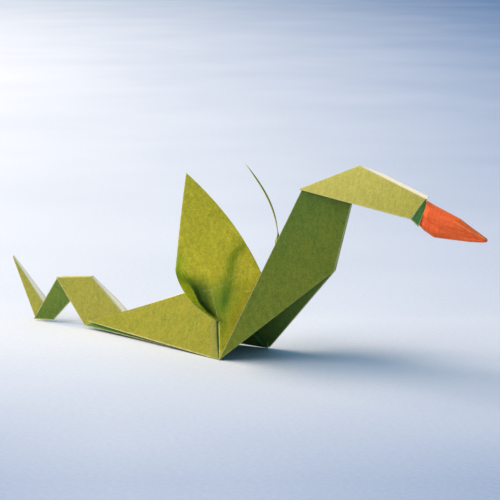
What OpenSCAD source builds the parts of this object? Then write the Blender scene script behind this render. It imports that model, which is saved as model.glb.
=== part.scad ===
// Origami sea monster: one square of two-coloured paper, folded and left to stand.
// Lengths are in millimetres. +X points to the beak, -Y is the near side, +Z is up.
// The two long flaps of a fish base make the neck and the tail, its two fins make the wings.

/* [Paper] */
// Thickness of one pressed layer, which is two sheets of paper lying on each other
layer_t = 0.22; // [0.18:0.01:0.3]
// Distance between two layers that lie pressed on each other, from middle to middle
layer_gap = 0.18; // [0.14:0.01:0.26]
// Thickness of a wing, which is three sheets
wing_t = 0.32; // [0.24:0.01:0.45]
// Width of the strip along a spine that the outer layer leaves bare
bare_edge = 0.8; // [0.4:0.1:1.2]

/* [Body] */
// Distance between the two feet, across the body
foot_spread = 21; // [14:0.5:28]
// Distance from the feet back to the corner where the body ends on the table
body_l = 60.8; // [50:0.2:68]
// Distance from the feet back to the highest point of the back, under the wings
back_x = 8; // [5:0.5:14]
// Height of the back there
back_h = 20; // [17:0.5:24]
// Distance from the feet forward to the chest, where the body turns up into the neck
chest_x = 31.6; // [26:0.2:36]
// Height of the chest
chest_h = 27.1; // [22:0.2:32]
// Width of the opening between the body's two walls at its tail end
body_mouth = 3; // [2.2:0.1:4]

/* [Neck] */
// Distance from the feet forward to the nape, the top of the neck's back edges
nape_x = 24.8; // [21:0.2:28]
// Height of the nape
nape_h = 48.8; // [44:0.2:52]
// Distance between the neck's two walls at the nape
nape_open = 11.2; // [8:0.2:13]
// Distance from the feet forward to the crown, where the neck turns into the head
crown_x = 40; // [36:0.2:44]
// Height of the crown
crown_h = 56; // [52:0.2:60]

/* [Head] */
// Distance from the feet forward to the brow, the front end of the head's ridge
brow_x = 61.7; // [56:0.2:66]
// Height of the brow
brow_h = 48.7; // [45:0.1:52]
// Distance from the feet forward to the lower front corner of the cheek
cheek_x = 57.6; // [53:0.2:61]
// Height of that corner
cheek_h = 43.2; // [40:0.1:46]
// Width of the opening under the head at its front end
cheek_open = 5.6; // [4:0.2:8]
// Height of the lowest corner of the gusset, the dark layer between head and beak
gusset_h = 41.7; // [40:0.1:43]
// How far the gusset stands in front of the cheek
gusset_out = 2; // [1:0.1:3]

/* [Beak] */
// Distance from the feet forward to the chin, the lowest corner of the beak
chin_x = 63.9; // [62:0.1:66]
// Height of the chin
chin_h = 39.2; // [37:0.1:41]
// Width of the beak at the chin
chin_open = 3.4; // [2:0.1:5]
// Distance from the feet forward to the bend in the top of the beak
bend_x = 72.1; // [69:0.1:75]
// Height of that bend
bend_h = 44.4; // [43:0.1:46]
// Distance from the feet forward to the tip of the beak
beak_x = 80.3; // [77:0.1:84]
// Height of the tip of the beak
beak_h = 39.6; // [38:0.1:42]

/* [Tail] */
// Distance from the feet back to the front corner of the tail's hump
hump_front_x = 58.2; // [55:0.2:62]
// Height of the front corner of the hump
hump_front_h = 15.7; // [13:0.1:18]
// Distance from the feet back to the rear corner of the hump
hump_rear_x = 72.8; // [69:0.2:76]
// Height of the rear corner of the hump
hump_rear_h = 13.7; // [11:0.1:16]
// Distance from the feet back to the front corner of the last fold on the table
dip_front_x = 74.3; // [72:0.1:77]
// Height of the front corner of that fold
dip_front_h = 1; // [0.6:0.1:1.6]
// Distance from the feet back to the rear corner of that fold
dip_rear_x = 82.4; // [80:0.2:85]
// Distance from the feet back to the tip of the tail
tail_x = 91.3; // [87:0.2:95]
// Height of the tip of the tail
tail_h = 18.2; // [15:0.2:22]
// Width of the tail's open side at each of its folds
tail_mouth = 1.6; // [1.2:0.1:2.4]
// Share of the way up the back at which the tail comes out of the body
root_share = 0.28; // [0.2:0.01:0.4]
// Height of the hidden front corner of the tail, inside the body
hidden_end_h = 1.4; // [0.8:0.1:3]

/* [Wings] */
// Height of the wing's tip
wing_h = 51.6; // [44:0.2:56]
// Sweep of the wing, as the angle between its width and a line straight across the body
wing_sweep = 39.5; // [30:0.5:50]
// How far the wing's tip lies behind the foot, measured along the wing's width
wing_tip_back = 8.1; // [4:0.1:12]
// How far the wing's rear corner lies behind the foot
wing_rear = 12.7; // [9:0.1:16]
// Height of the rear corner
wing_rear_h = 26; // [22:0.2:30]
// How far the wing's front corner lies in front of the foot
wing_front = 12.3; // [9:0.1:14]
// Height of the front corner
wing_front_h = 22; // [19:0.2:26]
// Height of the stem, below which the wing is a narrow stalk
stem_h = 9.5; // [7:0.1:12]
// Outward swing of the heel, the rounded lower rear edge
heel_out = 12; // [8:0.1:14]
// Height of the heel
heel_h = 17.5; // [15:0.1:20]
// How far the front edge bulges beyond a straight line
front_bulge = 1.9; // [0.5:0.1:3]
// How far the wing leans outward at its widest
wing_lean = 2.3; // [0.5:0.1:4]
// How far the wing's tip is bent back inward
wing_bend = 9; // [5:0.1:12]
// Height at which that bend starts
bend_start_h = 33; // [28:0.2:38]
// Depth of the hollow that the opened layers leave in the wing's lower rear half
pocket_d = 2.4; // [1:0.1:3.5]

/* [Hidden] */

// The model is shifted so that its origin is under the middle of its length
mid_x = (beak_x - tail_x) / 2;

foot_y = foot_spread / 2;

// Corners on the spine, which lies on the plane between the near side and the far side
back = [-back_x, 0, back_h];
chest = [chest_x, 0, chest_h];
crown = [crown_x, 0, crown_h];
brow = [brow_x, 0, brow_h];
beak_bend = [bend_x, 0, bend_h];
beak_tip = [beak_x, 0, beak_h];
hump_front = [-hump_front_x, 0, hump_front_h];
hump_rear = [-hump_rear_x, 0, hump_rear_h];
dip_front = [-dip_front_x, 0, dip_front_h];
dip_rear = [-dip_rear_x, 0, layer_t];
tail_tip = [-tail_x, 0, tail_h];
tail_corner = [-body_l, 0, layer_t];

// Corners on the far side's crease. The near side is their mirror image.
foot = [0, foot_y, layer_t];
nape = [nape_x, nape_open / 2, nape_h];
cheek = [cheek_x, cheek_open / 2, cheek_h];
chin = [chin_x, chin_open / 2, chin_h];
gusset = [cheek_x + gusset_out, cheek_open / 2 - 2 * layer_gap, gusset_h];

// Where the tail comes out of the body's spine, and where its hidden end lies inside the body
tail_root = between(tail_corner, back, root_share);
tail_end = tail_root + (tail_root - hump_front) * (tail_root.z - hidden_end_h) / (hump_front.z - tail_root.z);

// A point between two others, a point moved sideways, and a point on a curve of three points
function between(a, b, t) = a + (b - a) * t;
function aside(p, y) = [p.x, p.y + y, p.z];
function curve(a, b, c, t) = between(between(a, b, t), between(b, c, t), t);

// A flat panel, as thick as t, that ends in a short upright edge at each corner
module panel(points, t = layer_t)
    hull()
        for (p = points)
            translate(p)
                cylinder(d = t, h = t, center = true, $fn = 8);

// A panel of four corners, creased along its first diagonal so that it need not be flat
module panel4(a, b, c, d, t = layer_t) {
    panel([a, b, c], t);
    panel([a, c, d], t);
}

// One wall of a strip, from its spine to its creased edge. The whole layer reaches the spine.
// The cut layer turns round the crease and its raw edge stops short of the spine. It lies
// outside the whole layer, or inside it where the strip has been turned inside out.
module wall(spine, crease, cut_side = 1) {
    step = cut_side * layer_gap;
    raw = [for (i = [0, 1])
        between(spine[i], crease[i], bare_edge / norm(spine[i] - crease[i]))];
    panel4(spine[0], spine[1], crease[1], crease[0]);
    panel4(aside(raw[0], step), aside(raw[1], step), aside(crease[1], step), aside(crease[0], step));
}

// The strip that closes the end of a fold, from an inner layer to one that lies outside it
module fold_end(spine, inner, outer)
    panel([spine, inner, outer]);

module both_sides() {
    children();
    mirror([0, 1, 0])
        children();
}

// The body stands on the table like a tent, on its two feet and its tail corner
module body() {
    corner = aside(tail_corner, body_mouth / 2);
    wall([tail_root, back], [corner, foot]);
    panel([back, chest, foot], 2 * layer_t);
}

// The neck is wrapped round the front of the body, with its spine at the front
module neck()
    wall([chest, crown], [foot, nape], -1);

// The head is wrapped round the top of the neck, with its ridge on top
module head() {
    outer_nape = aside(nape, 2 * layer_gap);
    wall([crown, brow], [outer_nape, cheek]);
    fold_end(crown, nape, outer_nape);
    panel([brow, cheek, gusset]);
}

// The beak is the end of the same flap, turned so that the other side of the paper shows
module beak() {
    root = aside(gusset, layer_gap);
    panel([brow, root, chin], 2 * layer_t);
    panel([brow, chin, beak_bend], 2 * layer_t);
    panel([beak_bend, chin, beak_tip], 2 * layer_t);
}

// The tail comes out of the body, and zigzags over a hump and down to the table. Each
// stretch lies inside the one before it.
module tail() {
    start = aside(tail_corner, body_mouth / 2 - 2 * layer_gap);
    hump_out = aside(hump_rear, tail_mouth / 2 + layer_gap);
    hump_in = aside(hump_rear, tail_mouth / 2 - layer_gap);
    dip_out = aside(dip_rear, tail_mouth / 2);
    dip_in = aside(dip_rear, tail_mouth / 2 - 2 * layer_gap);
    panel([tail_root, start, tail_end], 2 * layer_t);
    wall([hump_front, tail_root], [hump_out, start]);
    fold_end(hump_front, hump_in, hump_out);
    wall([hump_front, dip_front], [hump_in, dip_out]);
    fold_end(dip_front, dip_in, dip_out);
    panel([dip_front, tail_tip, dip_in], 2 * layer_t);
}

// Outline of a wing in its own plane: distance forward of the foot, then height
wing_foot = [0, foot.z];
wing_stem = [0, stem_h];
wing_tip = [-wing_tip_back, wing_h];
rear_corner = [-wing_rear, wing_rear_h];
front_corner = [wing_front, wing_front_h];
heel = [-heel_out, heel_h];
front_mid = between(front_corner, wing_tip, 0.5)
    + [wing_tip.y - front_corner.y, front_corner.x - wing_tip.x] / norm(wing_tip - front_corner) * 2 * front_bulge;

// Pairs of points on the rear and the front edge, from the foot to the tip
lower_rows = 4;
upper_rows = 6;
wing_rows = concat(
    [[wing_foot, wing_foot], [wing_stem, between(wing_foot, front_corner, 0.5)]],
    [for (i = [1 : lower_rows])
        [curve(wing_stem, heel, rear_corner, i / lower_rows),
         between(wing_foot, front_corner, 0.5 + 0.5 * i / lower_rows)]],
    [for (i = [1 : upper_rows])
        [between(rear_corner, wing_tip, i / upper_rows), curve(front_corner, front_mid, wing_tip, i / upper_rows)]]);

// How far a point of the wing stands out from the upright plane through the foot
function bend_at(z) = z > bend_start_h ? wing_bend * pow((z - bend_start_h) / (wing_h - bend_start_h), 1.35) : 0;
function hollow_at(z) = z > stem_h && z < bend_start_h ? sin(180 * (z - stem_h) / (bend_start_h - stem_h)) : 0;
function relief_at(across, z) = -pocket_d * hollow_at(z) * sin(180 * pow(across, 0.7));
function wing_out(across, z) = wing_lean * min(z, bend_start_h) / wing_rear_h - bend_at(z) + relief_at(across, z);

// A point of the wing, at a share of the way across one of its rows
wing_steps = 6;
wing_along = [sin(wing_sweep), -cos(wing_sweep), 0];
wing_normal = [cos(wing_sweep), sin(wing_sweep), 0];
function wing_point(row, across, lift) =
    let (p = between(row[0], row[1], across))
    [0, foot_y, 0] + p.x * wing_along + (wing_out(across, p.y) + lift) * wing_normal + [0, 0, p.y];

// One closed skin over a grid of points and the same grid moved by the thickness
module wing() {
    rows = len(wing_rows);
    cols = wing_steps + 1;
    grid = [for (lift = [wing_t / 2, -wing_t / 2], row = wing_rows, j = [0 : wing_steps])
        wing_point(row, j / wing_steps, lift)];
    under = rows * cols;
    skin = [for (i = [0 : rows - 2], j = [0 : cols - 2])
        let (a = i * cols + j, b = a + 1, c = a + cols, d = c + 1)
        each [[a, b, d], [a, d, c], [under + a, under + d, under + b], [under + a, under + c, under + d]]];
    rim = concat(
        [for (j = [0 : cols - 2]) j],
        [for (i = [0 : rows - 2]) i * cols + cols - 1],
        [for (j = [cols - 1 : -1 : 1]) (rows - 1) * cols + j],
        [for (i = [rows - 1 : -1 : 1]) i * cols]);
    edge = [for (k = [0 : len(rim) - 1])
        let (a = rim[k], b = rim[(k + 1) % len(rim)])
        each [[a, under + a, under + b], [a, under + b, b]]];
    polyhedron(grid, concat(skin, edge));
}

module folded_sheet()
    color("yellowgreen")
        translate([-mid_x, 0, 0])
            both_sides() {
                body();
                neck();
                head();
                beak();
                tail();
                wing();
            }

folded_sheet();
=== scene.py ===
import math

import bpy
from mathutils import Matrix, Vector, noise


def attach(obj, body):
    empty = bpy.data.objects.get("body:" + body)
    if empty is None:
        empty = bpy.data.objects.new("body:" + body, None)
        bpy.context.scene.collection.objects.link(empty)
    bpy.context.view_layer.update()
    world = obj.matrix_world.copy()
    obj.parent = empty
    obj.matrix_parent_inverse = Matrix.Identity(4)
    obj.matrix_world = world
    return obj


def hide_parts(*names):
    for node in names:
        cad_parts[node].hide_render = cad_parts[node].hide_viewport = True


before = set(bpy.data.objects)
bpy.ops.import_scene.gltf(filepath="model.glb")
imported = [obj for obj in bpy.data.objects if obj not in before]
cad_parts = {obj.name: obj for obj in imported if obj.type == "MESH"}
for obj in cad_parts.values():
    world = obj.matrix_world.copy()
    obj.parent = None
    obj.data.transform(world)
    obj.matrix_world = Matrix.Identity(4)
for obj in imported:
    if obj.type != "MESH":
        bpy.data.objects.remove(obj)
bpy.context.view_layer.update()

# The paper. One square of thin origami paper, green in front. Its back is made orange on the beak
# and cream elsewhere, as in the strips beside the raw edges. Its fibres show as a fine mottled
# grain, and folds and cut edges are rubbed pale. Some pale lines are painted highlights, and some
# places are painted deeper green as painted shade or straw as painted light.
SHEET_T = 0.0001
GRAIN_SIZE = 0.0005
SPECK_SIZE = GRAIN_SIZE * 2.6
FIBRE_SIZE = GRAIN_SIZE * 1.3
MOTTLE_SIZE = 0.0032
FINE_SHARE = 0.5
SPECK_SHARE = 0.3
FIBRE_SHARE = 0.2
WORN_RELIEF = 0.15
PATCH_SHARE = 0.4
RELIEF_DEPTH = 0.00005
PAPER_SHINE = 0.25
DIM_GLOW = 0.74


def add_node(tree, kind, **settings):
    node = tree.nodes.new(kind)
    for key, value in settings.items():
        setattr(node, key, value)
    return node


def noise_field(tree, source, size, detail, rough=0.6):
    field = add_node(tree, "ShaderNodeTexNoise")
    field.inputs["Scale"].default_value = 1 / size
    field.inputs["Detail"].default_value = detail
    field.inputs["Roughness"].default_value = rough
    tree.links.new(source, field.inputs["Vector"])
    return field.outputs["Fac"]


def spread(tree, value, low, high, to_low=0.0, to_high=1.0):
    ramp = add_node(tree, "ShaderNodeMapRange")
    for name, number in (("From Min", low), ("From Max", high), ("To Min", to_low), ("To Max", to_high)):
        ramp.inputs[name].default_value = number
    tree.links.new(value, ramp.inputs["Value"])
    return ramp.outputs["Result"]


def combine(tree, operation, a, b):
    node = add_node(tree, "ShaderNodeMath", operation=operation)
    for socket, value in zip(node.inputs, (a, b)):
        if isinstance(value, (int, float)):
            socket.default_value = value
        else:
            tree.links.new(value, socket)
    return node.outputs["Value"]


def blend_colours(tree, factor, a, b):
    node = add_node(tree, "ShaderNodeMix", data_type="RGBA")
    tree.links.new(factor, node.inputs["Factor"])
    for socket, value in ((node.inputs[6], a), (node.inputs[7], b)):
        if isinstance(value, tuple):
            socket.default_value = (*value, 1.0)
        else:
            tree.links.new(value, socket)
    return node.outputs[2]


def make_paper_grain():
    group = bpy.data.node_groups.new("paper_grain", "ShaderNodeTree")
    group.interface.new_socket(name="WearAndHighlight", in_out="INPUT", socket_type="NodeSocketFloat")
    for name in ("Grain", "Mottle", "RubbedAndHighlit", "Height", "Roughness"):
        group.interface.new_socket(name=name, in_out="OUTPUT", socket_type="NodeSocketFloat")
    out = add_node(group, "NodeGroupOutput")
    place = add_node(group, "ShaderNodeTexCoord").outputs["Object"]
    fine = noise_field(group, place, GRAIN_SIZE, 3.0, 0.7)
    speck = noise_field(group, place, SPECK_SIZE, 4.0, 0.8)
    broad = noise_field(group, place, MOTTLE_SIZE, 3.0, 0.55)
    stretch = add_node(group, "ShaderNodeMapping")
    stretch.inputs["Scale"].default_value = (1.0, 0.25, 0.3)
    stretch.inputs["Rotation"].default_value = (0.4, 0.2, 0.9)
    group.links.new(place, stretch.inputs["Vector"])
    fibre = noise_field(group, stretch.outputs["Vector"], FIBRE_SIZE, 2.0, 0.5)
    fine_part = combine(group, "MULTIPLY", fine, FINE_SHARE)
    speck_part = combine(group, "MULTIPLY", speck, SPECK_SHARE)
    fibre_part = combine(group, "MULTIPLY", fibre, FIBRE_SHARE)
    grain = combine(group, "ADD", fine_part, combine(group, "ADD", speck_part, fibre_part))
    # The stored value marks folds and cut edges rubbed pale, and a few lines where the pale rub is a painted
    # highlight
    worn_and_highlit = add_node(group, "ShaderNodeAttribute", attribute_name="wear_and_highlight").outputs["Fac"]
    worn_and_highlit = combine(group, "MULTIPLY", worn_and_highlit, add_node(group, "NodeGroupInput").outputs["WearAndHighlight"])
    broken = combine(group, "MULTIPLY", worn_and_highlit, spread(group, speck, 0.3, 0.62, 0.45, 1.0))
    group.links.new(spread(group, grain, 0.40, 0.61), out.inputs["Grain"])
    group.links.new(spread(group, broad, 0.34, 0.66), out.inputs["Mottle"])
    group.links.new(broken, out.inputs["RubbedAndHighlit"])
    height = combine(group, "ADD", grain, combine(group, "MULTIPLY", worn_and_highlit, WORN_RELIEF))
    group.links.new(height, out.inputs["Height"])
    group.links.new(spread(group, speck, 0.3, 0.7, 0.68, 0.86), out.inputs["Roughness"])
    return group


paper_grain = make_paper_grain()
# Colours for painted shade (deep green) and painted light (straw), and the greener light that passes through
# paper painted in shade
PAINTED_SHADE_GREENS = ((0.052, 0.160, 0.034), (0.100, 0.275, 0.068))
PAINTED_LIGHT_STRAWS = ((0.78, 0.68, 0.16), (1.0, 0.88, 0.24))
PAINTED_SHADE_GLOW = (0.30, 0.60, 0.01)


def make_paper(name, dark, light, patch, rubbed_and_highlit_colour, glow, see_through=0.0, edge=None, see_through_and_painted_shade=None, bump=0.35,
               with_painted_shading=True, wear_and_highlight=1.0):
    # edge is the colour beside a cut edge. The next argument names the mesh attribute that says how much
    # light passes; on the wings it is also lowered as painted shade. The paper can also take the
    # mesh's stored painted shading: deep green painted shade below 0 and straw painted light above.
    # The last argument says how strongly the folds are rubbed pale and the painted highlights show.
    material = bpy.data.materials.new(name)
    material.use_nodes = True
    tree = material.node_tree
    tree.nodes.clear()
    grain = add_node(tree, "ShaderNodeGroup", node_tree=paper_grain)
    grain.inputs["WearAndHighlight"].default_value = wear_and_highlight
    colour = blend_colours(tree, grain.outputs["Grain"], dark, light)
    patches = combine(tree, "MULTIPLY", grain.outputs["Mottle"], PATCH_SHARE)
    colour = blend_colours(tree, patches, colour, patch)
    # The mesh's stored painted shading: below 0 the colour goes deep green as painted shade, above 0 straw as
    # painted light
    painted_shading = add_node(tree, "ShaderNodeAttribute", attribute_name="painted_shading").outputs["Fac"]
    if with_painted_shading:
        painted_shade_colour = blend_colours(tree, grain.outputs["Grain"], *PAINTED_SHADE_GREENS)
        painted_light_colour = blend_colours(tree, grain.outputs["Grain"], *PAINTED_LIGHT_STRAWS)
        colour = blend_colours(tree, spread(tree, painted_shading, 0.0, -1.0), colour, painted_shade_colour)
        colour = blend_colours(tree, spread(tree, painted_shading, 0.0, 1.0), colour, painted_light_colour)
    if edge:
        beside = add_node(tree, "ShaderNodeAttribute", attribute_name="cut").outputs["Fac"]
        colour = blend_colours(tree, beside, colour, edge)
    colour = blend_colours(tree, grain.outputs["RubbedAndHighlit"], colour, rubbed_and_highlit_colour)
    relief = add_node(tree, "ShaderNodeBump")
    relief.inputs["Strength"].default_value = bump
    relief.inputs["Distance"].default_value = RELIEF_DEPTH
    tree.links.new(grain.outputs["Height"], relief.inputs["Height"])
    surface = add_node(tree, "ShaderNodeBsdfPrincipled")
    surface.inputs["Specular IOR Level"].default_value = PAPER_SHINE
    tree.links.new(colour, surface.inputs["Base Color"])
    tree.links.new(grain.outputs["Roughness"], surface.inputs["Roughness"])
    tree.links.new(relief.outputs["Normal"], surface.inputs["Normal"])
    result = surface.outputs["BSDF"]
    if see_through:
        through = add_node(tree, "ShaderNodeBsdfTranslucent")
        dim = tuple(DIM_GLOW * c for c in glow)
        passed = blend_colours(tree, grain.outputs["Grain"], dim, glow)
        # Where the paper is painted in shade, the light passing through it turns green too: painted shade
        passed = blend_colours(tree, spread(tree, painted_shading, 0.0, -1.0), passed, PAINTED_SHADE_GLOW)
        tree.links.new(passed, through.inputs["Color"])
        both = add_node(tree, "ShaderNodeMixShader")
        both.inputs["Fac"].default_value = see_through
        if see_through_and_painted_shade:
            amount = add_node(tree, "ShaderNodeAttribute", attribute_name=see_through_and_painted_shade).outputs["Fac"]
            tree.links.new(amount, both.inputs["Fac"])
        tree.links.new(result, both.inputs[1])
        tree.links.new(through.outputs["BSDF"], both.inputs[2])
        result = both.outputs["Shader"]
    out = add_node(tree, "ShaderNodeOutputMaterial")
    tree.links.new(result, out.inputs["Surface"])
    return material


green_side = make_paper("green_side", (0.17, 0.205, 0.010), (0.39, 0.375, 0.028), (0.42, 0.35, 0.018),
                        (0.74, 0.70, 0.32), (0.50, 0.50, 0.03), 0.20)
# The wings take a lighter, yellower copy of the same green paper: painted light
painted_light_wing_side = make_paper("green_side_wing_painted_light", (0.18, 0.225, 0.014), (0.52, 0.47, 0.060), (0.50, 0.42, 0.030),
                       (0.95, 0.92, 0.52), (1.0, 0.96, 0.28), 0.5, see_through_and_painted_shade="see_through_and_painted_shade")
pale_side = make_paper("pale_side", (0.98, 0.91, 0.68), (1.0, 0.97, 0.80), (1.0, 0.92, 0.68),
                       (1.0, 0.95, 0.78), (1.0, 0.93, 0.70), 0.08, edge=(0.98, 0.68, 0.48), with_painted_shading=False)
cut_edge = make_paper("cut_edge", (0.55, 0.50, 0.22), (0.72, 0.66, 0.32), (0.62, 0.56, 0.26),
                      (0.80, 0.75, 0.42), (0.8, 0.8, 0.5), with_painted_shading=False)
orange_side = make_paper("orange_side", (0.84, 0.10, 0.018), (0.98, 0.185, 0.045), (0.92, 0.13, 0.02),
                         (1.0, 0.29, 0.08), (0.95, 0.20, 0.03), 0.12, bump=0.3)


# The body. A tent of two walls that meet at the spine and spread to the feet, two layers each:
# one reaches over the spine, the other turns round the bottom crease and ends beside the spine.
FEET_X = 0.0055
MM = 0.001
EDGE_STEPS = (0.0, 0.12, 0.35, 0.8)
EDGE_SHARE = 0.04
WALL_STEPS = 14
ROW_STEPS = 18
TURN_STEPS = 4
RUB_AND_HIGHLIGHT_WIDTH = 0.14
CUT_WIDTH = 0.14
NO_EDGE = 99.0
WAVE_H = 0.16
SLOW_WAVE = (19, 4, 15)
QUICK_WAVE = (7, 3, 7)
QUICK_SHARE = 0.35
CALM_RUN = 3
CREASE_CALM = 0.3
FOLD_CALM = 0.1
APEX_SHARE = 0.75
# Inner layers are painted in shade
INSIDE_PAINTED_SHADE = -0.65


def spaced(length, steps):
    # Places along a length, close together near both of its ends
    near = [min(step, length * EDGE_SHARE * (k + 1)) if step else 0.0 for k, step in enumerate(EDGE_STEPS)]
    far = [length - step for step in reversed(near)]
    inner = [near[-1] + (far[0] - near[-1]) * k / steps for k in range(1, steps)]
    return near + inner + far


def wave(point):
    # How far the paper stands off a true plane at this point. The added numbers shift the pattern.
    x, y, z = SLOW_WAVE
    slow = noise.noise(Vector((point.x / x + 3.1, point.y / y + 7.7, point.z / z)))
    x, y, z = QUICK_WAVE
    quick = noise.noise(Vector((point.x / x, point.y / y + 2.2, point.z / z + 5.0)))
    return WAVE_H * (slow + QUICK_SHARE * quick)


def wall_row(spine, crease, outward, inner_off, outer_off, cut_outside, raw, line, flare):
    # One side of a section: over the spine, down one layer, round the crease and back to the cut
    # edge. Each point comes with its distance to the nearest fold or cut edge, its distance to the
    # cut edge alone, and whether it is on the inner layer.
    down = crease - spine
    width = down.length
    down.normalize()
    whole, cut = (inner_off, outer_off) if cut_outside else (outer_off, inner_off)
    points = []
    apex = Vector((-down.x, 0.0, -down.z)).normalized()
    points.append((spine + apex * whole * APEX_SHARE, 0.0, NO_EDGE, cut_outside))
    places = spaced(width, WALL_STEPS)
    for place in places:
        middle = spine + down * place
        calm = min(1.0, place / CALM_RUN, max(0.0, width - place) / CALM_RUN + CREASE_CALM) * line
        lift = wave(middle) * calm
        points.append((middle + outward * (whole + lift), min(place, width - place), NO_EDGE, cut_outside))
    radius = (cut - whole) / 2
    centre = crease + outward * (whole + radius)
    for k in range(1, TURN_STEPS):
        angle = math.pi * k / TURN_STEPS
        side = outward * (-radius * math.cos(angle))
        points.append((centre + side + down * abs(radius) * math.sin(angle), 0.0, NO_EDGE, False))
    for place in spaced(width - raw, WALL_STEPS):
        place = width - place
        middle = spine + down * place
        calm = min(1.0, place / CALM_RUN, max(0.0, width - place) / CALM_RUN + CREASE_CALM)
        calm = max(0.0, calm) * line
        lift = wave(middle) * calm + flare * max(-place, 0.0)
        edge = min(abs(place - raw), width - place)
        points.append((middle + outward * (cut + lift), edge, place - raw, not cut_outside))
    return points


def mirrored(point):
    return Vector((point.x, -point.y, point.z))


class Stretch:
    """A stretch of a flap between two folds, given by where its spine and its crease start and end."""

    def __init__(self, spine, crease, inner=(0.12, 0.12), layer=0.13, cut_outside=True,
                 near_raw=(0.15, 0.15, 0.15), far_raw=(0.15, 0.15, 0.15), flare=0.0, rows=ROW_STEPS,
                 far_open=1.0, painted_shading=(0.0, 0.0, 0.0), far_painted_shading=0.0):
        self.spine = [Vector(p) for p in spine]
        self.crease = [Vector(p) for p in crease]
        self.inner = inner
        self.layer = layer
        self.cut_outside = cut_outside
        self.raw = {-1: near_raw, 1: far_raw}
        self.flare = flare
        self.rows = rows
        self.far_open = far_open
        self.painted_shading = painted_shading
        self.far_painted_shading = far_painted_shading

    def side(self, sign, share, line):
        spine = self.spine[0].lerp(self.spine[1], share)
        crease = self.crease[0].lerp(self.crease[1], share)
        along = (self.spine[1] - self.spine[0]) + (self.crease[1] - self.crease[0])
        outward = along.cross(crease - spine).normalized()
        if outward.y < 0:
            outward = -outward
        if sign < 0:
            crease, outward = mirrored(crease), mirrored(outward)
        else:
            crease.y *= self.far_open
        inner = self.inner[0] + (self.inner[1] - self.inner[0]) * share
        start, third, end = self.raw[sign]
        if share < 1 / 3:
            raw = start + (third - start) * share * 3
        else:
            raw = third + (end - third) * (share - 1 / 3) * 1.5
        flare = self.flare if sign > 0 else 0.0
        return wall_row(spine, crease, outward, inner, inner + self.layer, self.cut_outside,
                        raw, line, flare)

    def row(self, share, from_fold):
        line = min(1.0, from_fold / CALM_RUN + FOLD_CALM)
        near = self.side(-1, share, line)
        far = self.side(1, share, line)
        # This stretch's painted shading runs from its start through its middle to its end; inner layers are
        # painted in shade
        start, middle, end = self.painted_shading
        if share < 0.5:
            painted_shading = start + (middle - start) * share * 2
        else:
            painted_shading = middle + (end - middle) * (share * 2 - 1)
        with_painted_shading = [(p, min(d, from_fold), cut, INSIDE_PAINTED_SHADE if inside else painted_shading)
                 for p, d, cut, inside in reversed(near)]
        with_painted_shading += [(p, min(d, from_fold), cut, INSIDE_PAINTED_SHADE if inside else self.far_painted_shading)
                  for p, d, cut, inside in far]
        return with_painted_shading

    def rows_between(self):
        length = max((self.spine[1] - self.spine[0]).length, (self.crease[1] - self.crease[0]).length)
        return [self.row(place / length, min(place, length - place)) for place in spaced(length, self.rows)]

    def heading(self, end):
        # The way this stretch runs at its end, square to the fold there
        fold = (self.crease[end] - self.spine[end]).normalized()
        run = self.spine[1] - self.spine[0] + self.crease[1] - self.crease[0]
        run -= fold * run.dot(fold)
        return run.normalized()


def turned_rows(before, after, out):
    # A round fold from the last row of one stretch to the first row of the next
    made = []
    for k in range(1, TURN_STEPS):
        angle = math.pi * k / TURN_STEPS
        row = []
        for (a, _, cut, painted_shading), (b, _, _, _) in zip(before, after):
            half = (a - b) / 2
            where = (a + b) / 2 + half * math.cos(angle) + out * half.length * math.sin(angle)
            row.append((where, 0.0, cut, painted_shading))
        made.append(row)
    return made


def flap(stretches, turned=False):
    # The rows of one strip of paper through all its stretches; turned swaps its two sides
    rows = []
    for k, stretch in enumerate(stretches):
        own = stretch.rows_between()
        if rows:
            out = (stretches[k - 1].heading(1) - stretch.heading(0)).normalized()
            out.y = 0.0
            rows += turned_rows(rows[-1], own[0], out)
        rows += own
    return [list(reversed(row)) for row in rows] if turned else rows


def store(mesh, name, values):
    mesh.attributes.new(name, "FLOAT", "POINT")
    mesh.attributes[name].data.foreach_set("value", values)


def finish_piece(name, points, faces, wear_and_highlight, sides):
    mesh = bpy.data.meshes.new(name)
    mesh.from_pydata([(p.x * MM + FEET_X, p.y * MM, p.z * MM) for p in points], [], faces)
    store(mesh, "wear_and_highlight", [math.exp(-(d / RUB_AND_HIGHLIGHT_WIDTH) ** 2) for d in wear_and_highlight])
    for material in sides:
        mesh.materials.append(material)
    mesh.polygons.foreach_set("use_smooth", [True] * len(faces))
    piece = bpy.data.objects.new(name, mesh)
    bpy.context.scene.collection.objects.link(piece)
    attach(piece, "root")
    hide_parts("folded_sheet")
    return piece


def paper_piece(name, rows, sides):
    # A mesh over a grid of points, made as thick as the paper, with its cut edges pale
    columns = len(rows[0])
    points = [point for row in rows for point in row]
    faces = [(i * columns + j, i * columns + j + 1, (i + 1) * columns + j + 1, (i + 1) * columns + j)
             for i in range(len(rows) - 1) for j in range(columns - 1)]
    piece = finish_piece(name, [p for p, _, _, _ in points], faces, [d for _, d, _, _ in points], sides)
    store(piece.data, "cut", [math.exp(-(cut / CUT_WIDTH) ** 2) for _, _, cut, _ in points])
    store(piece.data, "painted_shading", [painted_shading for _, _, _, painted_shading in points])
    thick = piece.modifiers.new("thickness", "SOLIDIFY")
    thick.thickness = SHEET_T
    thick.offset = 0.0
    thick.material_offset = 1
    thick.material_offset_rim = 2
    return piece


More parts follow.
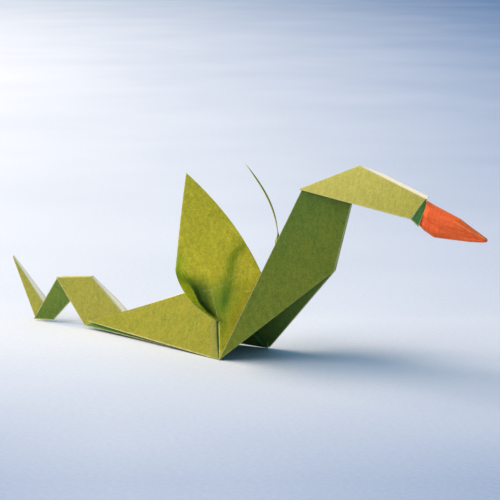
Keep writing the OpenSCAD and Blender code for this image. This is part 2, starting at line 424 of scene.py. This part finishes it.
PAPER_SIDES = (green_side, pale_side, cut_edge)
FOOT = (0.0, 10.5, 0.06)
BACK = (-8.0, 0.0, 20.0)
CHEST = (31.6, 0.0, 27.1)
TAIL_CORNER = (-58.0, 1.6, 2.3)
TAIL_ROOT = (-46.0, 0.0, 6.2)
PLEAT_DEPTH = 3.2
PLEAT_BACK = 1.5
PLEAT_BOW = 0.7
PLEAT_INSIDE = 0.6
PLEAT_OVER = 0.1
PLEAT_ROOM = 0.3
PLEAT_PAINTED_SHADE = -1.0
THROAT_IN = 0.06
LIP_IN = 0.02
LIP_PAINTED_HIGHLIGHT = 0.15
BREAST_PAINTED_SHADE = -0.4


def with_pleat(rows):
    # Beside the foot the wall turns in and out again, where the wing comes out from inside. The
    # turned-in rows are painted in deep shade, and the pale rub along the outer lip is a painted
    # highlight.
    middle = len(rows[0]) // 2
    start = []
    inside = []
    throat = []
    lip = []
    for p, d, cut, painted_shading in rows[0]:
        bow = math.sin(math.pi * min(max(p.z / BACK[2], 0.0), 1.0)) ** PLEAT_BOW
        side = math.copysign(min(abs(p.y), PLEAT_DEPTH * bow), p.y)
        start.append((p, NO_EDGE, cut, PLEAT_PAINTED_SHADE))
        where = Vector((p.x - PLEAT_INSIDE * PLEAT_BACK * bow, p.y - side, p.z))
        inside.append((where, NO_EDGE, cut, PLEAT_PAINTED_SHADE))
        where = Vector((p.x - PLEAT_BACK * bow, p.y * (1 - THROAT_IN * bow), p.z))
        throat.append((where, NO_EDGE, cut, PLEAT_PAINTED_SHADE))
        where = Vector((p.x - (PLEAT_BACK + PLEAT_OVER) * bow, p.y * (1 - LIP_IN * bow), p.z))
        lip.append((where, LIP_PAINTED_HIGHLIGHT, cut, painted_shading))
    kept = [row for row in rows[1:] if BACK[0] - row[middle][0].x > PLEAT_BACK + PLEAT_ROOM]
    return [start, inside, throat, lip] + kept


rear_body = Stretch((BACK, TAIL_ROOT), (FOOT, TAIL_CORNER), inner=(0.12, 0.3), rows=30)
# The breast is painted in shade, on both sides
front_body = Stretch((BACK, CHEST), (FOOT, FOOT), inner=(0.12, 0.12), painted_shading=(BREAST_PAINTED_SHADE,) * 3,
                     far_painted_shading=BREAST_PAINTED_SHADE)
body = paper_piece("body", with_pleat(flap([rear_body], turned=True)), PAPER_SIDES)
breast = paper_piece("breast", flap([front_body]), (green_side, green_side, cut_edge))

# The tail. The same flap, folded into the body and out again, over a hump, down to the table and
# up to its tip. The raw edges run along its spine and show the pale reverse side.
HUMP_FRONT = (-58.2, 0.0, 15.7)
HUMP_REAR = (-71.3, 1.5, 14.2)
DIP_FRONT = (-74.5, 0.0, 0.9)
DIP_REAR = (-80.9, 1.6, 0.8)
TAIL_START = (-60.1, 1.2, 0.95)
TAIL_HIDDEN = (-20.0, 0.0, 8.0)
HIDDEN_CREASE = (-14.0, 7.0, 0.1)
TAIL_TIP = (-91.3, 0.0, 18.6)
FALL_REAR = (-71.3, 1.25, 14.2)
TIP_FRONT = (-80.9, 1.2, 0.8)
TIP_REAR = (-91.3, 0.12, 18.3)
RAW_FLARE = 1.4
TAIL_OPEN = 0.3
# Painted shade and light: the hidden end and the fall are painted darker, the rise and the tip lighter
hidden_end = Stretch((TAIL_HIDDEN, TAIL_ROOT), (HIDDEN_CREASE, TAIL_START), inner=(0.06, 0.1), layer=0.12,
                     painted_shading=(-0.9, -0.9, -0.9))
rise = Stretch((TAIL_ROOT, HUMP_FRONT), (TAIL_START, HUMP_REAR), inner=(0.1, 0.16), layer=0.12,
               near_raw=(-0.15, -0.15, 0.0), far_raw=(-0.9, -0.8, -0.15), flare=RAW_FLARE, far_open=TAIL_OPEN,
               painted_shading=(0.24, 0.24, 0.24))
fall = Stretch((HUMP_FRONT, DIP_FRONT), (FALL_REAR, DIP_REAR), inner=(0.05, 0.12), layer=0.1,
               cut_outside=False, far_open=TAIL_OPEN, painted_shading=(-0.6, -0.6, -0.6))
tip = Stretch((DIP_FRONT, TAIL_TIP), (TIP_FRONT, TIP_REAR), inner=(0.04, 0.04), layer=0.08,
              near_raw=(0.1, -0.1, 0.0), far_raw=(0.0, -0.9, -0.1), flare=RAW_FLARE, far_open=TAIL_OPEN,
              painted_shading=(0.26, 0.26, 0.26))
tail = paper_piece("tail", flap([rise, fall, tip], turned=True), PAPER_SIDES)
tail_end = paper_piece("tail_end", flap([hidden_end], turned=True), PAPER_SIDES)

# The neck and head. The other flap, wrapped round the front of the body with its spine in front,
# and wrapped once more round its own top, with the head's ridge and the raw edges uppermost.
CROWN = (40.0, 0.0, 55.95)
NAPE = (24.8, 5.6, 48.9)
BROW = (61.3, 0.0, 48.85)
CHEEK = (58.6, 2.8, 43.8)
NECK_FOOT = (0.0, 10.7, 0.1)
HEAD_NAPE = (24.6, 6.0, 49.0)
# Painted shade and light: the neck is painted darker, most towards the head, its far side a little; the head
# is painted lighter, most at its crown
neck_run = Stretch((CHEST, CROWN), (NECK_FOOT, NAPE), inner=(0.24, 0.2), cut_outside=False, rows=26,
                   painted_shading=(-0.32, -0.38, -0.6), far_painted_shading=-0.3)
head_run = Stretch((CROWN, BROW), (HEAD_NAPE, CHEEK), inner=(0.34, 0.24),
                   near_raw=(0.0, -0.1, -0.12), far_raw=(0.0, -0.45, -0.5), flare=RAW_FLARE, rows=22,
                   painted_shading=(0.6, 0.48, 0.33), far_painted_shading=0.15)
neck = paper_piece("neck", flap([neck_run, head_run]), PAPER_SIDES)

# The beak. The tip of the flap, turned so that the orange side shows, with a gusset behind it
# painted deep green as shade. It was pressed by hand, so it is creased along its length and ends
# in a round tip.
GUSSET_LOW = (60.8, 2.6, 42.1)
GUSSET_TOP = (62.0, 0.0, 48.3)
gusset_run = Stretch((BROW, GUSSET_TOP), (CHEEK, GUSSET_LOW), inner=(0.0, 0.0), layer=0.1, rows=5,
                     painted_shading=(-1.0, -1.0, -1.0))
gusset = paper_piece("gusset", flap([gusset_run]), PAPER_SIDES)
BEAK_ROWS = 110
BEAK_STATIONS = (0.0, 0.16, 0.4, 0.58, 0.8, 1.0)
BEAK_TOP = ((61.6, 48.7), (63.7, 47.8), (68.5, 46.1), (72.1, 44.85), (76.6, 42.3), (80.4, 40.3))
BEAK_LOW = ((59.6, 42.3), (62.0, 41.2), (64.8, 39.55), (69.5, 39.4), (75.5, 39.3), (80.3, 39.5))
BEAK_DEPTHS = (0.0, 0.13, 0.36, 0.50, 0.58, 0.80, 1.0)
BEAK_HALVES = ((0.0, 1.0, 1.6, 1.7, 1.4, 1.5, 0.9),
               (0.0, 1.35, 2.2, 2.2, 1.6, 2.25, 1.9),
               (0.0, 1.45, 2.1, 2.0, 1.85, 1.9, 1.3),
               (0.0, 1.6, 1.75, 1.6, 1.55, 1.4, 1.0),
               (0.0, 1.15, 0.95, 0.8, 0.75, 0.75, 0.6),
               (0.0, 0.45, 0.5, 0.5, 0.5, 0.4, 0.2))
BEAK_BETWEEN = 5
REAR_SLANT = 0.82
SLANT_FADE = 0.85
CRUMPLE_H = 0.20
WRINKLE_H = 0.08
TIP_ROUND = 0.045


def between(stops, values, place):
    # The value at a place in a table, on the straight line between its two neighbours
    for k in range(len(stops) - 1):
        if place <= stops[k + 1] or k == len(stops) - 2:
            share = (place - stops[k]) / (stops[k + 1] - stops[k])
            return values[k] + (values[k + 1] - values[k]) * share


def beak_row(share):
    top = Vector((between(BEAK_STATIONS, [x for x, _ in BEAK_TOP], share), 0,
                  between(BEAK_STATIONS, [z for _, z in BEAK_TOP], share)))
    low = Vector((between(BEAK_STATIONS, [x for x, _ in BEAK_LOW], share), 0,
                  between(BEAK_STATIONS, [z for _, z in BEAK_LOW], share)))
    depths = [a + (b - a) * k / BEAK_BETWEEN for a, b in zip(BEAK_DEPTHS, BEAK_DEPTHS[1:])
              for k in range(BEAK_BETWEEN)] + [1.0]
    row = []
    for side in (-1, 1):
        half = []
        for down in depths:
            middle = top.lerp(low, down)
            width = between(BEAK_STATIONS, [between(BEAK_DEPTHS, v, down) for v in BEAK_HALVES], share)
            crumple = CRUMPLE_H * noise.noise(Vector((middle.x / 6.5, down * 7 + 4 * side, 1.5)))
            crumple += WRINKLE_H * noise.noise(Vector((middle.x / 3.0, down * 17, side * 3)))
            width += crumple * min(1.0, down * 6) * min(1.0, share * 6)
            # Past the middle of the beak a pale rub along its upper ridge is a painted highlight
            ridge = 2 * abs(down - BEAK_DEPTHS[1]) + 0.01 if share > BEAK_STATIONS[3] else 1.0
            edge = min(down, 1 - down, ridge) * (top - low).length
            slant = REAR_SLANT * width * max(1 - share / BEAK_STATIONS[1], 0.0) if side < 0 else 0.0
            slant *= 1 - SLANT_FADE * down ** 2
            if share > 1 - TIP_ROUND:
                close = math.sqrt(1 - (1 - (1 - share) / TIP_ROUND) ** 2)
                width *= close
                middle = top.lerp(low, 0.5 + (down - 0.5) * close)
            half.append((Vector((middle.x + slant, side * width, middle.z)), edge, NO_EDGE, 0.0))
        row += list(reversed(half)) if side < 0 else half[1:]
    return row


beak = paper_piece("beak", [beak_row(k / BEAK_ROWS) for k in range(BEAK_ROWS + 1)],
                   (orange_side, orange_side, orange_side))

# The wings. Each is a fin of the base, pulled up between the body and the neck, leaning out and
# bent back at its tip. Its two layers lie flat together and are made as one closed shell. Its lower
# rear edge has curled over into a lip, with a dark hollow in front of it. The lip lets more light
# through, as one layer and as painted light; the hollow, the sides of the ridge and dent, the lower
# front and a line under the lip are painted deeper green and let less light through: painted shade.
WING_H = 51.6
WING_T = 0.2
SWEEP = math.radians(39.5)
STEM = (-0.5, 11.0)
HEEL = (-11.0, 17.2)
REAR = (-12.7, 26.0)
REAR_CONTROL = (-11.7, 40.0)
TIP = (-8.1, 51.6)
FRONT = (12.3, 22.0)
BULGE = 1.9
LEAN = 0.110
BEND = 11.76
BEND_H = 27.0
WING_ROWS = 150
WING_THIN = 0.63
FAR_THIN = 0.2
WING_BASE = 0.15
LIP_SPAN = (10.5, 14.0, 22.5, 27.5)
RIDGE_SPAN = (2.0, 10.0, 17.0, 23.0)
DENT_SPAN = (14.0, 22.0, 31.0, 34.5)
HOLLOW_SPAN = (10.5, 14.0, 18.0, 27.0)
RIDGE_PAINTED_SHADE_SPAN = (3.0, 9.0, 16.0, 26.0)
DENT_SHADE_SPAN = (12.0, 18.0, 31.0, 35.0)
REAR_PAINTED_SHADE_SPAN = (22.0, 26.0, 28.0, 34.0)
PAINTED_SHADOW_LINE_SPAN = (10.0, 11.5, 16.0, 18.0)
DENT_DROP = 1.1
RIPPLE_H = 0.3
MARK_FAINT = 0.08
LIP_GLOW = 0.9
HOLLOW_PAINTED_SHADE = 0.9
DENT_PAINTED_SHADE = 0.25
FRONT_PAINTED_SHADE = 0.15
DARKEST_PAINTED_SHADE = 1.4
CREST = ((0.0, -0.1), (11.4, -0.9), (13.7, -3.9), (16.7, -6.4), (20.3, -8.1), (23.9, -10.8), (26.0, -12.3),
         (52.0, -12.5))
RIDGE = ((0.0, 0.1), (9.9, -0.3), (12.9, -1.0), (16.7, -1.9), (20.1, -2.65), (26.0, -4.0), (52.0, -9.0))
DENT = ((0.0, 0.4), (15.2, 0.3), (19.0, 0.8), (22.8, 1.4), (26.6, 2.2), (28.5, 2.2), (30.8, 3.4), (33.1, 6.3),
        (52.0, 9.0))
MARKS = [[(-4.6, 19.6), (0.95, 21.6), (4.2, 24.1), (7.2, 24.5), (10.5, 25.1)], [(3.1, 19.1), (8.3, 19.4)]]
# The columns of the grid between the rear edge, the crest, the hollow, the ridge, the dent and the
# front edge
SPANS = (12, 6, 14, 14, 22)


def bezier(a, b, c, t):
    return tuple(p * (1 - t) ** 2 + 2 * q * t * (1 - t) + r * t * t for p, q, r in zip(a, b, c))


def at_height(curve, z):
    # Where a rising curve crosses a height
    for (s0, z0), (s1, z1) in zip(curve, curve[1:]):
        if z <= z1:
            return s0 + (s1 - s0) * (z - z0) / (z1 - z0)
    return curve[-1][0]


edge_run = Vector((TIP[0] - FRONT[0], TIP[1] - FRONT[1]))
edge_out = Vector((edge_run.y, -edge_run.x)).normalized() * 2 * BULGE
front_control = ((FRONT[0] + TIP[0]) / 2 + edge_out.x, (FRONT[1] + TIP[1]) / 2 + edge_out.y)
rear_curve = [(0.0, 0.0)] + [bezier(STEM, HEEL, REAR, k / 24) for k in range(25)]
rear_curve += [bezier(REAR, REAR_CONTROL, TIP, k / 24) for k in range(1, 25)]
front_curve = [(0.0, 0.0)] + [bezier(FRONT, front_control, TIP, k / 24) for k in range(25)]


def ease(t):
    t = min(max(t, 0.0), 1.0)
    return t * t * (3 - 2 * t)


def hump(z, start, full, fade, end):
    return ease((z - start) / (full - start)) * (1 - ease((z - fade) / (end - fade)))


def line_at(line, z):
    return between([h for h, _ in line], [v for _, v in line], z)


def to_line(s, z, line):
    # The distance from a point to a line of points
    best = NO_EDGE
    for (s0, z0), (s1, z1) in zip(line, line[1:]):
        a, p = Vector((s1 - s0, z1 - z0)), Vector((s - s0, z - z0))
        share = min(max(p.dot(a) / a.length_squared, 0.0), 1.0)
        best = min(best, (p - a * share).length)
    return best


def wing_lines(z):
    # The six lines down the wing at this height, kept in order, and how far each stands out
    rear, front = at_height(rear_curve, z), at_height(front_curve, z)
    width = max(front - rear, 0.02)
    crest = line_at(CREST, z)
    wanted = [rear, crest, crest + 0.7, line_at(RIDGE, z), line_at(DENT, z), front]
    least = width * 0.045
    for k in range(1, 6):
        wanted[k] = min(max(wanted[k], wanted[k - 1] + least), front - least * (5 - k))
    lip = hump(z, *LIP_SPAN)
    ridge = hump(z, *RIDGE_SPAN)
    dent = hump(z, *DENT_SPAN)
    hollow = hump(z, *HOLLOW_SPAN)
    stand = [-0.3 * lip, 1.8 * lip, -3.4 * hollow, 0.6 * ridge - 0.2 * hollow, 0.7 * dent, 0.0]
    return wanted, stand, lip, hollow, dent


def across(k, share, stand, dent, span):
    # The height between two of the lines: each stretch of paper bends in its own way
    a, b = stand[k], stand[k + 1]
    if k == 1:
        return a + (b - a) * ease(share)
    if k == 2:
        return a + (b - a) * share ** 0.75
    if k == 4:
        drop = ease(share * span / 0.7) * math.exp(-share * span / 3.5)
        return a * (1 - ease(share * span / 0.7)) - DENT_DROP * dent * drop
    return a + (b - a) * share


def wing_piece(name, sign):
    along_wing = Vector((math.sin(SWEEP), sign * -math.cos(SWEEP), 0))
    outward = Vector((math.cos(SWEEP), sign * math.sin(SWEEP), 0))
    foot = Vector((0, sign * FOOT[1], 0))
    points = []
    wear_and_highlight = []
    see_through_and_painted_shade = []
    painted_shading_values = []
    for i in range(WING_ROWS + 1):
        z = WING_BASE + (WING_H - WING_BASE) * i / WING_ROWS
        lines, stand, lip, hollow, dent = wing_lines(z)
        lean = LEAN * z - BEND * (max(z - BEND_H, 0.0) / (WING_H - BEND_H)) ** 2
        outer = []
        for k, steps in enumerate(SPANS):
            span = lines[k + 1] - lines[k]
            for j in range(steps + (k == len(SPANS) - 1)):
                share = j / steps
                s = lines[k] + span * share
                ripple = RIPPLE_H * noise.noise(Vector((s / 10 + 5 * sign, z / 12, 0.7))) * ease(z / 12)
                out = lean + across(k, share, stand, dent, span) + ripple
                mark = min(to_line(s, z, MARKS[0]), to_line(s, z, MARKS[1])) + MARK_FAINT
                edge = min(s - lines[0], lines[-1] - s, mark)
                # The pale line beside the ridge is a painted highlight
                if k == 3 and stand[3] > 0.05:
                    edge = min(edge, (s - lines[3]) + 0.1)
                # How much light passes: more on the lip, as one layer and as painted light; less in the
                # hollow, along the dent and low at the front, as painted shade
                glow = 1.0 + LIP_GLOW * lip * (k == 0) - HOLLOW_PAINTED_SHADE * hollow * (k == 1) * share
                glow -= HOLLOW_PAINTED_SHADE * hollow * (k == 2) * (1 - share ** 2)
                near_dent = math.exp(-((s - lines[4] - 0.5) / 1.5) ** 2) * hump(z, *DENT_SHADE_SPAN)
                glow -= DENT_PAINTED_SHADE * near_dent
                glow -= FRONT_PAINTED_SHADE * ease((26 - z) / 12) * (k >= 3)
                # Painted shade: deeper green over the lip and the hollow, beside the ridge and the dent, and
                # near the rear edge
                green = (0.22 * (k == 0) + (0.3 + 0.5 * share) * (k == 1)) * lip
                green += (k == 2) * hollow * (0.8 - 0.6 * share)
                beside_ridge = (k == 3) + (k == 4) * (1 - share) ** 2
                green += 0.38 * near_dent + 0.42 * hump(z, *RIDGE_PAINTED_SHADE_SPAN) * beside_ridge
                green += 0.35 * hump(z, *REAR_PAINTED_SHADE_SPAN) * math.exp(-((s - lines[0]) / 2.5) ** 2)
                # A painted shadow line under the lip: no rub, no light passing and the deepest painted shade
                if hump(z, *PAINTED_SHADOW_LINE_SPAN) * math.exp(-((s - lines[0]) / 0.3) ** 2) > 0.4:
                    edge = NO_EDGE
                    glow = 0.0
                    green = DARKEST_PAINTED_SHADE
                where = foot + along_wing * s + outward * out + Vector((0, 0, z))
                passed = max(WING_THIN * glow, 0.0) if sign < 0 else FAR_THIN
                outer.append((where, edge, passed, -min(green, DARKEST_PAINTED_SHADE)))
        inner = [(p - outward * WING_T, edge, glow, green) for p, edge, glow, green in reversed(outer)]
        ring = outer + inner
        points += [p for p, _, _, _ in ring]
        wear_and_highlight += [edge for _, edge, _, _ in ring]
        see_through_and_painted_shade += [glow for _, _, glow, _ in ring]
        painted_shading_values += [green for _, _, _, green in ring]
    columns = len(ring)
    faces = [(i * columns + j, i * columns + (j + 1) % columns,
              (i + 1) * columns + (j + 1) % columns, (i + 1) * columns + j)
             for i in range(WING_ROWS) for j in range(columns)]
    faces.append(tuple(reversed(range(columns))))
    faces.append(tuple(range(WING_ROWS * columns, (WING_ROWS + 1) * columns)))
    if sign > 0:
        faces = [tuple(reversed(face)) for face in faces]
    piece = finish_piece(name, points, faces, wear_and_highlight, (painted_light_wing_side,))
    store(piece.data, "see_through_and_painted_shade", see_through_and_painted_shade)
    store(piece.data, "painted_shading", painted_shading_values)
    return piece


near_wing = wing_piece("near_wing", -1)
far_wing = wing_piece("far_wing", 1)

# The floor, the lights and the camera. A flat pale blue sheet that reaches far behind the figure,
# a warm lamp from the left and a little behind, a broad soft one from the front left, and a long
# lens at the photograph's angle.
FLOOR_HALF = 4.0
FLOOR_PALE = (0.75, 0.79, 0.87)
# The colour of the floor's painted shade
FLOOR_PAINTED_SHADE = (0.19, 0.29, 0.49)
CLOUD_SIZE = 0.12
SPECKLE_SIZE = 0.0014
WEAVE_SIZE = 0.0012
ROOM_COLOUR = (0.36, 0.68, 1.0, 1.0)
ROOM_STRENGTH = 0.5
SENSOR_WIDTH = 36.0
PICTURE_WIDTH = 500.0
LEAST_DEPTH = 0.4
CAMERA_AZIMUTH = math.radians(39.5)
CAMERA_RISE = math.radians(9.0)
CAMERA_DISTANCE = 0.616
CAMERA_AIM = Vector((0.0039, 0.0046, 0.0288))
PIXELS_FOCAL = 2200.0
back_way = Vector((math.sin(CAMERA_AZIMUTH) * math.cos(CAMERA_RISE),
                   -math.cos(CAMERA_AZIMUTH) * math.cos(CAMERA_RISE), math.sin(CAMERA_RISE)))


def make_floor():
    away = Vector((-math.sin(CAMERA_AZIMUTH), math.cos(CAMERA_AZIMUTH), 0))
    across_view = Vector((math.cos(CAMERA_AZIMUTH), math.sin(CAMERA_AZIMUTH), 0))
    mesh = bpy.data.meshes.new("floor")
    corners = [(x * FLOOR_HALF, y * FLOOR_HALF, 0) for x, y in ((-1, -1), (1, -1), (1, 1), (-1, 1))]
    mesh.from_pydata(corners, [], [(0, 1, 2, 3)])
    floor = bpy.data.objects.new("floor", mesh)
    bpy.context.scene.collection.objects.link(floor)
    material = bpy.data.materials.new("floor_sheet")
    material.use_nodes = True
    tree = material.node_tree
    place = add_node(tree, "ShaderNodeTexCoord").outputs["Object"]

    def measured(direction):
        node = add_node(tree, "ShaderNodeVectorMath", operation="DOT_PRODUCT")
        tree.links.new(place, node.inputs[0])
        node.inputs[1].default_value = direction
        return node.outputs["Value"]

    # Painted light and shade on the floor: paler at the middle left, bluer and darker to the right, far back
    # and near the camera
    run, side = measured(away), measured(across_view)
    depth = combine(tree, "MAXIMUM", combine(tree, "ADD", run, CAMERA_DISTANCE), LEAST_DEPTH)
    sideways = combine(tree, "DIVIDE", side, depth)
    right = combine(tree, "POWER", spread(tree, sideways, -0.12, 0.12), 1.3)
    far = combine(tree, "POWER", spread(tree, run, 0.05, 2.0), 0.5)
    close = combine(tree, "POWER", spread(tree, run, 0.02, -0.14), 1.4)
    close = combine(tree, "MULTIPLY", close, 0.50)
    corner_near = spread(tree, run, 0.05, -0.06, 0.0, 0.12)
    corner = combine(tree, "MULTIPLY", spread(tree, sideways, -0.05, -0.115), corner_near)
    close = combine(tree, "ADD", close, corner)
    far_right = combine(tree, "ADD", combine(tree, "MULTIPLY", far, 0.72), 0.20)
    floor_painted_shade = combine(tree, "MULTIPLY", right, far_right)
    floor_painted_shade = combine(tree, "ADD", combine(tree, "ADD", floor_painted_shade, close), combine(tree, "MULTIPLY", far, 0.08))
    cloudy = noise_field(tree, place, CLOUD_SIZE, 2.0, 0.5)
    floor_painted_shade = combine(tree, "ADD", floor_painted_shade, spread(tree, cloudy, 0.3, 0.7, -0.05, 0.05))
    speckle = noise_field(tree, place, SPECKLE_SIZE, 3.0, 0.7)
    floor_painted_shade = combine(tree, "ADD", floor_painted_shade, spread(tree, speckle, 0.35, 0.65, -0.04, 0.04))
    colour = blend_colours(tree, floor_painted_shade, FLOOR_PALE, FLOOR_PAINTED_SHADE)
    surface = tree.nodes["Principled BSDF"]
    tree.links.new(colour, surface.inputs["Base Color"])
    surface.inputs["Roughness"].default_value = 0.9
    surface.inputs["Specular IOR Level"].default_value = 0.1
    weave = noise_field(tree, place, WEAVE_SIZE, 3.0, 0.6)
    relief = add_node(tree, "ShaderNodeBump")
    relief.inputs["Strength"].default_value = 0.25
    relief.inputs["Distance"].default_value = 0.0001
    tree.links.new(weave, relief.inputs["Height"])
    tree.links.new(relief.outputs["Normal"], surface.inputs["Normal"])
    mesh.materials.append(material)


def add_lamp(name, direction, distance, size, watts, colour):
    lamp = bpy.data.lights.new(name, "AREA")
    lamp.energy = watts
    lamp.size = size
    lamp.color = colour
    holder = bpy.data.objects.new(name, lamp)
    holder.location = Vector(direction).normalized() * distance
    holder.rotation_euler = (-holder.location).to_track_quat("-Z", "Y").to_euler()
    bpy.context.scene.collection.objects.link(holder)


make_floor()
add_lamp("key", (-0.80, -0.15, 0.50), 3.0, 1.6, 110.0, (1.0, 0.80, 0.60))
add_lamp("soft", (-0.34, -0.66, 0.68), 4.0, 4.0, 120.0, (1.0, 0.86, 0.70))

world = bpy.data.worlds.new("room")
world.use_nodes = True
world.node_tree.nodes["Background"].inputs["Color"].default_value = ROOM_COLOUR
world.node_tree.nodes["Background"].inputs["Strength"].default_value = ROOM_STRENGTH
bpy.context.scene.world = world

camera_data = bpy.data.cameras.new("camera")
camera_data.sensor_width = SENSOR_WIDTH
camera_data.lens = SENSOR_WIDTH * PIXELS_FOCAL / PICTURE_WIDTH
camera_data.clip_start = 0.01
camera = bpy.data.objects.new("camera", camera_data)
camera.location = CAMERA_AIM + back_way * CAMERA_DISTANCE
camera.rotation_euler = back_way.to_track_quat("Z", "Y").to_euler()
bpy.context.scene.collection.objects.link(camera)
bpy.context.scene.camera = camera
bpy.context.scene.view_settings.view_transform = "Standard"
